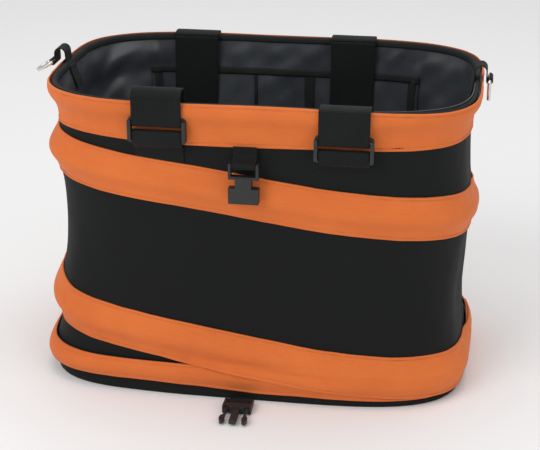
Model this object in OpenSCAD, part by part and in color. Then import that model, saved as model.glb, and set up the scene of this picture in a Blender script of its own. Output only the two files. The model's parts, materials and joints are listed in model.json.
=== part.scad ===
// Collapsible pop-up tool tote: a fabric bucket held open by one spring wire that runs in sleeves
// round the rim, down the wall as a spiral, and round the base.
// Origin: middle of the base, on the floor. X is the length, -Y is the front, Z is up.

/* [Bag] */
// Half of the outside length
half_length = 220; // [190:5:250]
// Half of the outside depth
half_depth = 135; // [120:5:155]
// Height from the floor to the top of the rim
height = 322; // [312:1:345]
// Squareness of the rounded outline, where 2 is an ellipse
squareness = 4; // [3:0.25:5]
// Thickness of the outer fabric
fabric = 1.2; // [0.8:0.1:1.5]
// Thickness of the coated lining
lining = 0.8; // [0.5:0.1:0.9]
// Clearance between neighbouring layers
gap = 0.3; // [0.2:0.05:0.4]

/* [Bands] */
// Height of the sleeve round the rim
rim_band_h = 40; // [38:1:48]
// Height of the binding on the rim's edge
rim_binding_h = 3.7; // [3:0.1:5]
// Height of the spiral sleeve
spiral_band_h = 48; // [40:1:52]
// Height of the sleeve round the base
base_band_h = 38; // [34:1:40]
// Height of the black edge below the base sleeve
base_edge_h = 7.7; // [6:0.1:9]
// Diameter of the spring wire
wire_d = 4; // [3:0.25:4.5]

/* [Handles] */
// Distance from the middle of the bag to the front left strap
front_left_x = 87; // [82:1:105]
// Distance from the middle of the bag to the front right strap
front_right_x = 97; // [85:1:105]
// Distance from the middle of the bag to the back left strap
back_left_x = 102; // [85:1:110]
// Distance from the middle of the bag to the back right strap
back_right_x = 78; // [70:1:105]
// Width of the handle webbing
strap_w = 50; // [40:1:50]
// Thickness of the webbing
webbing = 1.6; // [1.2:0.1:1.8]
// Length of a handle loop below its fold
handle_drop = 200; // [150:5:230]
// Height of the handle's pivot above the rim
pivot_lift = 4; // [4:0.5:8]
// Distance of the front left lock below the rim
front_left_lock = 28; // [28:1:36]
// Distance of the front right lock below the rim
front_right_lock = 39; // [28:1:44]
// Distance of the back locks below the rim
back_lock = 30; // [28:1:34]

/* [Hardware] */
// Width of a slide lock
lock_w = 58; // [56:0.5:60]
// Height of a slide lock
lock_h = 27; // [26:0.5:28]
// Inside radius of the D-ring's bow
ring_r = 11.5; // [11:0.25:13]
// Width of the buckle halves
buckle_w = 30; // [29:0.5:32]
// Offset of the buckle's lower strap to the side
lower_strap_x = -6; // [-10:1:10]
// How far the left D-ring stands out from hanging straight down
ring_tilt = 60; // [0:5:80]

/* [Pockets] */
// Half of the width of the pocket panel
pocket_half_w = 160; // [120:5:165]
// Distance of the pocket's mouth below the rim
pocket_mouth = 38; // [34:1:60]
// Depth of the pockets
pocket_depth = 150; // [100:5:180]

/* [Hidden] */
$fn = 48;

orange = [0.87, 0.45, 0.22];
black = [0.10, 0.11, 0.11];
glossy = [0.15, 0.17, 0.18];
silver = [0.78, 0.79, 0.80];
steel = [0.45, 0.46, 0.48];
plastic = [0.07, 0.07, 0.08];

sides = 96;                                   // points round the outline
wire_r = wire_d / 2;
wire_out = wire_r + 1.3;                      // wire centre, outwards of the wall
sleeve_in = wire_out + wire_r + 0.9;          // inside of a sleeve's bulge
sleeve_out = sleeve_in + 1;                   // outside of a sleeve's bulge
sleeve_half_h = 4.5;                          // half height of a hoop sleeve's bulge

base_band_top = base_edge_h + gap + base_band_h;
base_wire_z = base_edge_h + base_band_h / 2;
rim_band_top = height - rim_binding_h - gap;
rim_band_low = rim_band_top - rim_band_h;
rim_wire_z = rim_band_top - 5;

board_t = 3;
board_z = fabric + 0.8 + gap;                 // underside of the stiffener board
floor_z = board_z + board_t + 0.2;            // underside of the floor lining
panel_t = 2;
lining_out = -fabric - 0.2;                   // outer face of the wall lining
lining_in = lining_out - lining;

// Height of the spiral, as a share of the bag's height, at each turn counted from the left end
spiral_keys = [[-0.42, 0.985], [-0.3, 0.95], [0, 0.81], [0.15, 0.765], [0.25, 0.706], [0.35, 0.645],
    [0.43, 0.628], [0.54, 0.556], [1, 0.312], [1.1, 0.268], [1.25, 0.158], [1.35, 0.095], [1.5, 0.085]];
spiral_start = -0.2;
spiral_end = 1.45;
wire_start = -0.12;
wire_end = 1.26;

strap_d = sleeve_out + gap;                   // back face of the webbing on the outside of the rim
strap_mid = strap_d + webbing / 2;
bend_r = 10;                                  // middle radius of the webbing's fold over the rim
pivot_z = height + pivot_lift;
pivot_d = strap_mid - bend_r;
slit = 4;                                     // gap between the handle tail and the anchor
anchor_low = 262;                             // lower end of a free anchor
front_left_low = 260;                         // the spiral sleeve covers the rest of this one
front_xs = [-front_left_x, front_right_x];
back_xs = [-back_left_x, back_right_x];
front_zs = [height - front_left_lock, height - front_right_lock];
back_zs = [height - back_lock, height - back_lock];

ring_wire = 2;
ring_leg = 8;
ring_d = 11.5;                                // D-ring's bar, outwards of the wall
ring_z = height - 1;
tab_w = 2 * ring_r - 2;

female_z = rim_band_low - 14;                 // bar of the female buckle
female_d = 12.2;
female_len = 38;                              // from the bar to the mouth
male_d = 15;                                  // bar of the male buckle
male_z = 4.3;
male_len = 43;                                // from the bar to the tip
buckle_t = 8;
bar_r = 1.8;
buckle_web = 24;                              // width of the buckle's webbing
prong_x = 10.5;
prong_root = 18;                              // prong's hinge, from the bar

function fit(u) = pow(pow(abs(cos(u)), squareness) + pow(abs(sin(u)), squareness), -1 / squareness);
function at(u, d) = [(half_length + d) * cos(u) * fit(u), (half_depth + d) * sin(u) * fit(u)];
function outline(d) = [for (i = [0:sides - 1]) at(360 * i / sides, d)];

// Faces of a lofted tube of rings, with n points in each ring. The triangles of cap close its two ends.
function loft_faces(rings, n, closed, cap = []) = concat(
    [for (c = cap) [c[2], c[1], c[0]]],
    [for (c = cap) [for (j = c) (rings - 1) * n + j]],
    [for (i = [0:(closed ? rings - 1 : rings - 2)], j = [0:n - 1], half = [0, 1])
        let (k = (j + 1) % n, next = (i + 1) % rings)
        half == 0 ? [i * n + j, i * n + k, next * n + k] : [i * n + j, next * n + k, next * n + j]]);

wire_cap = [for (j = [1:6]) [0, j, j + 1]];
sleeve_cap = [[0, 1, 2], [0, 2, 11], [11, 2, 3], [11, 3, 10], [10, 3, 4], [10, 4, 9], [9, 4, 5],
    [9, 5, 8], [8, 5, 6], [8, 6, 7]];

function wire_section(u, z) = [for (a = [0:45:315])
    concat(at(u, wire_out + wire_r * cos(a)), z + wire_r * sin(a))];

// The spiral's own height and the part of its sleeve that shows between the two hoops' sleeves
function turn_angle(t) = 180 + 360 * t;
function spiral_z(t) = height * (lookup(t - 0.05, spiral_keys) + lookup(t, spiral_keys)
    + lookup(t + 0.05, spiral_keys)) / 3;
function spiral_low(t) = max(spiral_z(t) - spiral_band_h / 2, base_band_top + gap);
function spiral_high(t) = max(min(spiral_z(t) + spiral_band_h / 2, rim_band_low - gap), spiral_low(t) + 2);
function spiral_mid(t) = (spiral_low(t) + spiral_high(t)) / 2;

// Section of the spiral sleeve: flat at both edges, with a bulge over the wire
function sleeve_section(t) =
    let (low = spiral_low(t), high = spiral_high(t), mid = (low + high) / 2,
        k = min(1, (high - low) / 24), out = gap + fabric,
        bulge_out = out + (sleeve_out - out) * k, bulge_in = gap + (sleeve_in - gap) * k)
    [for (p = [[gap, low], [out, low], [out, mid - 6 * k], [bulge_out, mid - 3 * k],
        [bulge_out, mid + 3 * k], [out, mid + 6 * k], [out, high], [gap, high],
        [gap, mid + 5.2 * k], [bulge_in, mid + 2.6 * k], [bulge_in, mid - 2.6 * k],
        [gap, mid - 5.2 * k]]) concat(at(turn_angle(t), p[0]), p[1])];

module slab(d, z0, z1) {
    translate([0, 0, z0]) linear_extrude(z1 - z0) polygon(outline(d));
}

module shell(d0, d1, z0, z1) {
    translate([0, 0, z0]) linear_extrude(z1 - z0) difference() {
        polygon(outline(d1));
        polygon(outline(d0));
    }
}

// A fabric sleeve round the bag, with a bulge over the hoop of wire inside it
module hoop_sleeve(z0, z1, wire_z) {
    difference() {
        union() {
            shell(gap, gap + fabric, z0, z1);
            shell(gap, sleeve_out, wire_z - sleeve_half_h, wire_z + sleeve_half_h);
        }
        shell(0, sleeve_in, wire_z - sleeve_half_h + 1, wire_z + sleeve_half_h - 1);
    }
}

module wire_hoop(z) {
    rings = [for (i = [0:sides - 1]) wire_section(360 * i / sides, z)];
    polyhedron([for (r = rings, p = r) p], loft_faces(sides, 8, true), 10);
}

module ferrule(z) {
    translate([-15, half_depth + wire_out, z]) rotate([0, 90, 0]) difference() {
        cylinder(r = wire_r + 0.75, h = 30);
        translate([0, 0, -1]) cylinder(r = wire_r + 0.2, h = 32);
    }
}

// Places a front part at the front, or mirrored or turned to the back
module mirror_to(back) {
    if (back) mirror([0, 1, 0]) children();
    else children();
}

module turn_to(back) {
    rotate([0, 0, back ? 180 : 0]) children();
}

// A strip of webbing against the outside of the rim, on the front
module front_strip(x, w, d, z0, z1) {
    translate([x - w / 2, -half_depth - d - webbing, z0]) cube([w, webbing, z1 - z0]);
}

module rounded_plate(w, h, r) {
    square([w - 2 * r, h], center = true);
    square([w, h - 2 * r], center = true);
    for (sx = [-1, 1], sy = [-1, 1]) translate([sx * (w / 2 - r), sy * (h / 2 - r)]) circle(r);
}

// ---- base half ----

module base_panel() color(black) slab(0, 0, panel_t);

module base_board() color([0.25, 0.25, 0.26]) slab(lining_out, board_z, board_z + board_t);

module floor_lining() color(glossy) slab(lining_out, floor_z, floor_z + lining);

module base_binding() color(black) shell(gap, gap + fabric, 0.5, base_edge_h);

module base_band() color(orange) hoop_sleeve(base_edge_h + gap, base_band_top, base_wire_z);

module base_wire() color(steel) wire_hoop(base_wire_z);

module base_ferrule() color(silver) ferrule(base_wire_z);

module wall_shell() color(black) shell(-fabric, 0, board_z, rim_band_top);

module wall_lining() color(glossy) shell(lining_in, lining_out, floor_z + lining + 0.2, rim_band_top);

module spiral_band() color(orange) {
    n = round((spiral_end - spiral_start) * sides);
    rings = [for (i = [0:n]) sleeve_section(spiral_start + i / sides)];
    polyhedron([for (r = rings, p = r) p], loft_faces(n + 1, 12, false, sleeve_cap), 10);
}

module spiral_wire() color(steel) {
    n = round((wire_end - wire_start) * sides);
    rings = [for (i = [0:n]) let (t = wire_start + i / sides) wire_section(turn_angle(t), spiral_mid(t))];
    polyhedron([for (r = rings, p = r) p], loft_faces(n + 1, 8, false, wire_cap), 10);
}

pocket_top = height - pocket_mouth;
pocket_out = lining_in - 0.8;                 // face of the pocket panel nearest the wall

module back_wall_part(d0, d1, x0, x1, z0, z1) {
    intersection() {
        shell(d0, d1, z0, z1);
        translate([x0, 0, z0 - 1]) cube([x1 - x0, half_depth + 10, z1 - z0 + 2]);
    }
}

module pocket_panel() color(glossy)
    back_wall_part(pocket_out - lining, pocket_out, -pocket_half_w, pocket_half_w,
        pocket_top - pocket_depth, pocket_top);

module pocket_binding() color(black)
    back_wall_part(pocket_out - lining - 0.8, pocket_out, -pocket_half_w, pocket_half_w,
        pocket_top + 0.1, pocket_top + 8);

module pocket_dividers() color(black)
    for (x = [-pocket_half_w + 8, -35, 30, 100, pocket_half_w - 8])
        back_wall_part(pocket_out - lining - 1, pocket_out - lining - 0.2, x - 6, x + 6,
            pocket_top - pocket_depth, pocket_top - 1);

module lower_strap() {
    bar_y = -half_depth - male_d;
    width = buckle_web;
    translate([lower_strap_x - width / 2, 0, 0]) {
        translate([0, bar_y, male_z - 3.4]) cube([width, male_d - gap - fabric - 0.3, 1.2]);
        translate([0, bar_y, male_z]) rotate([0, 90, 0]) difference() {
            cylinder(r = 3.4, h = width);
            translate([0, 0, -1]) cylinder(r = bar_r + 0.3, h = width + 2);
        }
    }
}

module front_lower_strap() color(black) lower_strap();

module back_lower_strap() color(black) turn_to(true) lower_strap();

// ---- rim half ----

module rim_band() color(orange) hoop_sleeve(rim_band_low, rim_band_top, rim_wire_z);

module rim_binding() color(black) shell(lining_in - 0.2, gap + fabric, height - rim_binding_h, height);

module rim_wire() color(steel) wire_hoop(rim_wire_z);

module rim_ferrule() color(silver) ferrule(rim_wire_z);

module anchor(x, low, lock_z) front_strip(x, strap_w, strap_d, low, lock_z);

module front_left_anchor() color(black) anchor(front_xs[0], front_left_low, front_zs[0]);

module front_right_anchor() color(black) anchor(front_xs[1], anchor_low, front_zs[1]);

module back_left_anchor() color(black) mirror_to(true) anchor(back_xs[0], anchor_low, back_zs[0]);

module back_right_anchor() color(black) mirror_to(true) anchor(back_xs[1], anchor_low, back_zs[1]);

// A slide lock behind the webbing: two end bars, two middle bars either side of the slit, and
// cheeks that stand out past the webbing's edges. Each slot is its lower and upper edge.
module slide_lock(x, z) {
    plate_d = gap + fabric + 0.5;
    plate_t = 4;
    cheek_t = 8;
    slot_w = strap_w + 1;
    cheek_w = (lock_w - slot_w) / 2;
    slots = [[-9.5, -3], [0, slit], [slit + 3, 10]];
    translate([x, -half_depth - plate_d, z]) rotate([90, 0, 0]) {
        linear_extrude(plate_t) difference() {
            rounded_plate(lock_w, lock_h, 4);
            for (s = slots) translate([-slot_w / 2, s[0]]) square([slot_w, s[1] - s[0]]);
        }
        for (s = [-1, 1]) translate([s * (lock_w - cheek_w) / 2, 0])
            linear_extrude(cheek_t) rounded_plate(cheek_w, lock_h - 5, cheek_w / 3);
    }
}

module front_left_lock() color(plastic) slide_lock(front_xs[0], front_zs[0]);

module front_right_lock() color(plastic) slide_lock(front_xs[1], front_zs[1]);

module back_left_lock() color(plastic) mirror_to(true) slide_lock(back_xs[0], back_zs[0]);

module back_right_lock() color(plastic) mirror_to(true) slide_lock(back_xs[1], back_zs[1]);

module handle_tails(xs, zs) {
    for (i = [0, 1]) front_strip(xs[i], strap_w, strap_d, zs[i] + slit, pivot_z);
}

module front_handle_tails() color(black) handle_tails(front_xs, front_zs);

module back_handle_tails() color(black) mirror_to(true) handle_tails(back_xs, back_zs);

module handle_bends(xs) {
    for (x = xs)
        translate([x - strap_w / 2, -half_depth - pivot_d, pivot_z])
            rotate([90, 0, 90]) rotate_extrude(angle = 180) translate([bend_r - webbing / 2, 0])
                square([webbing, strap_w]);
}

module front_handle_bends() color(black) handle_bends(front_xs);

module back_handle_bends() color(black) mirror_to(true) handle_bends(back_xs);

// A webbing tab that is sewn inside the rim, arches over it and loops round the D-ring's bar
module ring_tab() {
    x = half_length + ring_d;
    tab_t = 1.4;
    sewn = 32;
    loop_r = ring_wire + 0.2;
    inner = half_length + lining_in - 0.5 - tab_t / 2;
    arch_r = (x - inner) / 2;
    arch_z = height + 8;
    translate([0, tab_w / 2, 0]) {
        translate([x, 0, ring_z]) rotate([90, 0, 0]) difference() {
            cylinder(r = loop_r + tab_t, h = tab_w);
            translate([0, 0, -1]) cylinder(r = loop_r, h = tab_w + 2);
        }
        translate([inner + arch_r, 0, arch_z]) rotate([90, 0, 0]) rotate_extrude(angle = 180)
            translate([arch_r - tab_t / 2, 0]) square([tab_t, tab_w]);
        translate([x - tab_t / 2, -tab_w, ring_z + loop_r]) cube([tab_t, tab_w, arch_z - ring_z - loop_r]);
        translate([inner - tab_t / 2, -tab_w, height - sewn]) cube([tab_t, tab_w, arch_z - height + sewn]);
    }
}

module left_ring_tab() color(black) mirror([1, 0, 0]) ring_tab();

module right_ring_tab() color(black) ring_tab();

module upper_strap() {
    top_z = female_z + bar_r + 0.3;
    translate([-buckle_web / 2, -half_depth - female_d, female_z]) rotate([0, 90, 0]) difference() {
        cylinder(r = bar_r + 1.5, h = buckle_web);
        translate([0, 0, -1]) cylinder(r = bar_r + 0.3, h = buckle_web + 2);
    }
    translate([-buckle_web / 2, -half_depth - female_d, top_z]) cube([buckle_web, female_d - gap, 1.2]);
    translate([-buckle_web / 2, -half_depth - gap - 1.2, top_z])
        cube([buckle_web, 1.2, rim_band_low - gap - top_z]);
}

module front_upper_strap() color(black) upper_strap();

module back_upper_strap() color(black) turn_to(true) upper_strap();

// ---- moving hardware ----

// A handle loop that hangs inside the bag from its folds
module handle_loop(xs) {
    outer_w = xs[1] - xs[0] + strap_w;
    inner_w = outer_w - 2 * strap_w;
    outer_r = 60;
    inner_r = 15;
    low = -handle_drop;
    translate([(xs[0] + xs[1]) / 2, -half_depth - pivot_d + bend_r + webbing / 2, pivot_z])
        rotate([90, 0, 0]) linear_extrude(webbing) difference() {
            union() {
                translate([-outer_w / 2, low + outer_r]) square([outer_w, handle_drop - outer_r]);
                translate([-outer_w / 2 + outer_r, low]) square([outer_w - 2 * outer_r, outer_r + 1]);
                for (s = [-1, 1]) translate([s * (outer_w / 2 - outer_r), low + outer_r]) circle(outer_r);
            }
            translate([-inner_w / 2, low + strap_w + inner_r]) square([inner_w, handle_drop]);
            translate([-inner_w / 2 + inner_r, low + strap_w]) square([inner_w - 2 * inner_r, handle_drop]);
            for (s = [-1, 1])
                translate([s * (inner_w / 2 - inner_r), low + strap_w + inner_r]) circle(inner_r);
        }
}

module front_handle() color(black) handle_loop(front_xs);

module back_handle() color(black) mirror_to(true) handle_loop(back_xs);

// A D-ring that hangs from its bar, which lies along Y
module d_ring(tilt) {
    bow = ring_r + ring_wire;
    translate([half_length + ring_d, 0, ring_z]) rotate([0, -tilt, 0]) {
        rotate([90, 0, 0]) cylinder(r = ring_wire, h = 2 * bow, center = true);
        for (s = [-1, 1]) {
            translate([0, s * bow, -ring_leg]) cylinder(r = ring_wire, h = ring_leg);
            translate([0, s * bow, 0]) sphere(ring_wire);
        }
        translate([0, 0, -ring_leg]) rotate([0, 90, 0]) rotate([0, 0, -90]) rotate_extrude(angle = 180)
            translate([bow, 0]) circle(ring_wire);
    }
}

module left_d_ring() color(silver) mirror([1, 0, 0]) d_ring(ring_tilt);

module right_d_ring() color(silver) d_ring(0);

// Female half: a bar in a frame, a narrow waist, and a wider mouth with a cavity
module female_buckle() {
    arm = (buckle_w - buckle_web) / 2 - 0.4;
    mouth_h = 16;
    cross_z = -10;
    translate([0, -half_depth - female_d, female_z]) {
        translate([-buckle_w / 2 + 1, 0, 0]) rotate([0, 90, 0]) cylinder(r = bar_r, h = buckle_w - 2);
        for (s = [-1, 1])
            translate([s * (buckle_w - arm) / 2 - arm / 2, -3.5, cross_z]) cube([arm, 7, 13]);
        difference() {
            union() {
                translate([-buckle_w / 2, -3.5, cross_z - 3]) cube([buckle_w, 7, 3]);
                translate([-8, -4.5, -female_len + mouth_h - 1])
                    cube([16, 9, female_len - mouth_h + cross_z]);
                translate([-buckle_w / 2, -4.5, -female_len]) cube([buckle_w, 9, mouth_h]);
            }
            translate([-12.5, -2.8, -female_len - 1]) cube([25, 5.6, mouth_h - 1]);
            translate([-5.5, -2.8, -female_len - 1]) cube([11, 5.6, mouth_h + 8]);
        }
    }
}

module front_female_buckle() color(plastic) female_buckle();

module back_female_buckle() color(plastic) turn_to(true) female_buckle();

// Male half, lying on the floor: a bar in a frame, a body and a middle guide
module male_buckle() {
    arm = (buckle_w - buckle_web) / 2 - 0.4;
    body_y = -8;
    body_l = 9;
    translate([lower_strap_x, -half_depth - male_d, male_z]) {
        translate([-buckle_w / 2 + 1, 0, 0]) rotate([0, 90, 0]) cylinder(r = bar_r, h = buckle_w - 2);
        for (s = [-1, 1])
            translate([s * (buckle_w - arm) / 2 - arm / 2, body_y, -3]) cube([arm, 11, 6]);
        difference() {
            translate([-buckle_w / 2, body_y - body_l, -buckle_t / 2]) cube([buckle_w, body_l, buckle_t]);
            for (s = [-1, 1])
                translate([s * prong_x, body_y - body_l, -buckle_t]) cylinder(r = 2.7, h = 2 * buckle_t);
        }
        translate([-3.5, -male_len + 1, -2.2]) cube([7, male_len + body_y - body_l - 1 + 1, 4.4]);
    }
}

module front_male_buckle() color(plastic) male_buckle();

module back_male_buckle() color(plastic) turn_to(true) male_buckle();

// A springy prong: a root, an arm and a pad that the finger presses
module prong(side) {
    pad_l = 13;
    pad_w = 6;
    pad_r = 9;
    root_y = -17;
    translate([lower_strap_x + side * prong_x, -half_depth - male_d, male_z]) {
        translate([0, root_y, -2.2]) cylinder(r = 2.3, h = 4.4);
        translate([-1, -male_len + pad_l / 2, -2.2]) cube([2, male_len - pad_l / 2 + root_y, 4.4]);
        translate([side * 1.2, -male_len + pad_l / 2, -2.2]) intersection() {
            translate([pad_w / 2 - pad_r, 0, 0]) cylinder(r = pad_r, h = 4.4);
            translate([pad_r - pad_w / 2, 0, 0]) cylinder(r = pad_r, h = 4.4);
        }
    }
}

module front_left_prong() color(plastic) prong(-1);

module front_right_prong() color(plastic) prong(1);

module back_left_prong() color(plastic) turn_to(true) prong(1);

module back_right_prong() color(plastic) turn_to(true) prong(-1);

base_panel();
base_board();
floor_lining();
base_binding();
base_band();
base_wire();
base_ferrule();
wall_shell();
wall_lining();
spiral_band();
spiral_wire();
pocket_panel();
pocket_binding();
pocket_dividers();
front_lower_strap();
back_lower_strap();
rim_band();
rim_binding();
rim_wire();
rim_ferrule();
front_left_anchor();
front_right_anchor();
back_left_anchor();
back_right_anchor();
front_left_lock();
front_right_lock();
back_left_lock();
back_right_lock();
front_handle_tails();
back_handle_tails();
front_handle_bends();
back_handle_bends();
left_ring_tab();
right_ring_tab();
front_upper_strap();
back_upper_strap();
front_handle();
back_handle();
left_d_ring();
right_d_ring();
front_female_buckle();
back_female_buckle();
front_male_buckle();
back_male_buckle();
front_left_prong();
front_right_prong();
back_left_prong();
back_right_prong();
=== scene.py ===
"""Looks of the collapsible pop-up tool tote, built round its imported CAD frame. Metres, +Z up, -Y front."""

import json
import math

import bmesh
import bpy
import numpy as np
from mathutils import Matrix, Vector


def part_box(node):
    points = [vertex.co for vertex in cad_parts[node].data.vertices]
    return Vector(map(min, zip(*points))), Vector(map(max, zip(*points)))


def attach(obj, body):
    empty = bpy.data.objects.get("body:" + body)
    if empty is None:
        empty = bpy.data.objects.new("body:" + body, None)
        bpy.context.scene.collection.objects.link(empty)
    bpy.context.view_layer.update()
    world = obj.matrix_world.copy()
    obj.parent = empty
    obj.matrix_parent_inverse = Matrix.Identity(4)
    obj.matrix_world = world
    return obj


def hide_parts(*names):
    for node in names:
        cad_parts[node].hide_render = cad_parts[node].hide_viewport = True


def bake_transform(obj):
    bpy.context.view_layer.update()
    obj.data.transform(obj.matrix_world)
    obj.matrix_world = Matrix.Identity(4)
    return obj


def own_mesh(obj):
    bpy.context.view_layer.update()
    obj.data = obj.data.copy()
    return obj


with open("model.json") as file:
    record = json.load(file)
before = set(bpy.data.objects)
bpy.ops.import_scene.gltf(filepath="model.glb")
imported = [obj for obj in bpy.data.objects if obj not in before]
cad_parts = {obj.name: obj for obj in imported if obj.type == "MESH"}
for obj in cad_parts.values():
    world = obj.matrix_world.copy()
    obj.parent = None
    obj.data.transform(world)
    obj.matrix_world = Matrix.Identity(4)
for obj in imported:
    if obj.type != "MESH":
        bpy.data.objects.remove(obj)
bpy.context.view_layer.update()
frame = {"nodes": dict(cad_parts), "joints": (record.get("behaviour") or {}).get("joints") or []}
MM = 0.001
TAU = 2 * math.pi

# ---- camera ----
AIM = Vector((0.0027, 0, 0.1436))
CAMERA_DISTANCE = 1.54
CAMERA_YAW = math.radians(9.0)
CAMERA_PITCH = math.radians(22.2)
FOCAL_LENGTH = 93.33


def make_camera():
    data = bpy.data.cameras.new("camera")
    data.lens = FOCAL_LENGTH
    data.sensor_width = 36
    data.clip_end = 30
    camera = bpy.data.objects.new("camera", data)
    bpy.context.scene.collection.objects.link(camera)
    level = math.cos(CAMERA_PITCH)
    back = Vector((math.sin(CAMERA_YAW) * level, -math.cos(CAMERA_YAW) * level, math.sin(CAMERA_PITCH)))
    camera.location = AIM + CAMERA_DISTANCE * back
    camera.rotation_euler = back.to_track_quat("Z", "Y").to_euler()
    bpy.context.scene.camera = camera


make_camera()

# ---- sizes taken from the frame ----
HALF_L, HALF_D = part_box("wall_shell")[1].xy
SQUARENESS = 4
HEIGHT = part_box("rim_binding")[1].z
RIM_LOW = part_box("rim_band")[0].z
BASE_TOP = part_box("base_band")[1].z
FLOOR_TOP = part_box("floor_lining")[1].z
RIM_WIRE_Z = sum(p.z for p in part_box("rim_wire")) / 2
BASE_WIRE_Z = sum(p.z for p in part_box("base_wire")) / 2
HOOPS = (("rim", RIM_WIRE_Z), ("base", BASE_WIRE_Z))
SIDES = (("front", -1), ("back", 1))
SPIRAL_H = 46 * MM
BASE_SLEEVE_TOP = 37.5 * MM
RIM_SLEEVE_LOW = RIM_LOW + 1.5 * MM
TRAVEL = next(j for j in frame["joints"] if j["name"] == "collapse")["range_m"][1]
WALL_KEEP = 1 - TRAVEL / (RIM_LOW - BASE_TOP)
BODY_FOLD = dict(joint="collapse", axis=(0, 0, 1), anchor=(0, 0, BASE_TOP), keep=WALL_KEEP)

# Turns counted from the left end, and the spiral's height there as a share of the bag's height
SPIRAL_KEYS = np.array([
    (-0.42, 0.985), (-0.3, 0.95), (0, 0.81), (0.15, 0.765), (0.25, 0.706), (0.35, 0.645), (0.43, 0.628),
    (0.54, 0.556), (1, 0.312), (1.1, 0.268), (1.25, 0.158), (1.35, 0.095), (1.5, 0.085)])
WIRE_FROM, WIRE_TO = -0.36, 1.48
SPIRAL_FROM, SPIRAL_TO = -0.27, 1.58

# Heights of wire, and how far a wire at that height stands outside the outline at each end of the bag, in mm
LEFT_OUT = np.array([(25, 10), (55, 7), (100, 1.2), (250, -1.5), (313, -3)])
RIGHT_OUT = np.array([(25, 0.5), (55, 0), (170, 2.4), (190, 2.4), (250, 0), (313, 0)])
WIRE_LIFT, WIRE_R = 2.6 * MM, 2 * MM


# ---- the bag's outline and skin: u is an angle, t a number of turns, d an offset outwards ----
def outline(u, d):
    """Points of the rounded outline at angle u, moved outwards by d."""
    c, s = np.cos(u), np.sin(u)
    fit = (np.abs(c) ** SQUARENESS + np.abs(s) ** SQUARENESS) ** (-1 / SQUARENESS)
    return (HALF_L + d) * c * fit, (HALF_D + d) * s * fit


def around(u):
    """Distance along the outline at each angle."""
    fine = np.linspace(0, 2 * TAU, 2881)
    x, y = outline(fine, 0)
    run = np.concatenate([[0], np.cumsum(np.hypot(np.diff(x), np.diff(y)))])
    return np.interp(u % TAU, fine, run) + np.floor(u / TAU) * run[1440]


def turn_of(u):
    """Share of a turn at each angle, counted from the left end."""
    return (np.degrees(u) - 180) / 360 % 1


def angle_of(t):
    """Angle after a number of turns, counted from the left end."""
    return (0.5 + t) * TAU


def angle_at(x, side):
    """Angle of the outline's point at x, on the front (-1) or back (1)."""
    fine = np.linspace(0.0, math.pi, 721)
    return side * np.interp(-np.asarray(x, float), -outline(fine, 0)[0], fine)


def smooth(x):
    x = np.clip(x, 0, 1)
    return x * x * (3 - 2 * x)


def mix(a, b, w):
    return a + (b - a) * w


def spiral_z(t):
    """Height of the spiral's middle line."""
    z = sum(np.interp(t + o, SPIRAL_KEYS[:, 0], SPIRAL_KEYS[:, 1]) for o in (-0.05, 0, 0.05))
    return HEIGHT * z / 3


def wires(u):
    """Height and presence of every turn of wire that crosses angle u."""
    t = turn_of(u)
    found = [(RIM_WIRE_Z + 0 * u, 1 + 0 * u), (BASE_WIRE_Z + 0 * u, 1 + 0 * u)]
    for turn in (-1, 0, 1):
        present = smooth((t + turn - WIRE_FROM) / 0.08) * smooth((WIRE_TO - t - turn) / 0.1)
        found.append((spiral_z(t + turn), present))
    return found


def nearness(u, z, reach, power):
    """1 on a wire, falling to 0 further away than reach."""
    total = 0
    for height, present in wires(u):
        away = np.sqrt((z - height) ** 2 + (3 * MM) ** 2) - 3 * MM
        total = total + (present * np.exp(-((away / reach) ** power))) ** 4
    return np.minimum(total, 1) ** 0.25


def bulge(u, z):
    """How far a sleeve swells over the wire inside it."""
    return 4.9 * MM * nearness(u, z, 9 * MM, 1.7)


def ripple(a, b, size, seed):
    """Smooth repeatable noise of about -1 to 1 over a sheet with coordinates a and b."""
    pick = np.random.default_rng(seed)
    total = 0
    for _ in range(9):
        angle, phase, stretch = pick.uniform(0, TAU), pick.uniform(0, TAU), pick.uniform(0.7, 1.6)
        total = total + np.sin(TAU * stretch * (a * math.cos(angle) + b * math.sin(angle)) / size + phase)
    return total / 4


def end_weights(u):
    """How much each angle belongs to the left end and to the right end."""
    x = outline(u, 0)[0]
    return smooth((-x - 0.11) / 0.1), smooth((x - 0.11) / 0.1)


SKIN_Z = np.arange(-15, 342, 1.5) * MM
SKIN_COLUMNS = 480


def gauss(table, cells, axis, wrap):
    """The table blurred along one axis by a number of cells."""
    reach = int(3 * cells)
    kernel = np.exp(-0.5 * (np.arange(-reach, reach + 1) / cells) ** 2)
    kernel /= kernel.sum()
    pad = [(0, 0), (0, 0)]
    pad[axis] = (reach, reach)
    full = np.pad(table, pad, mode="wrap" if wrap else "edge")
    return np.apply_along_axis(lambda row: np.convolve(row, kernel, "valid"), axis, full)


def wire_heights(turn):
    """Heights of the wires met going up the skin at a share of a turn."""
    heights = [BASE_WIRE_Z, RIM_WIRE_Z]
    for t in (turn - 1, turn, turn + 1):
        if WIRE_FROM + 0.02 < t < WIRE_TO - 0.03:
            heights.append(float(np.clip(spiral_z(t), BASE_WIRE_Z + 1 * MM, RIM_WIRE_Z - 1 * MM)))
    return np.array(sorted(heights))


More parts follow.
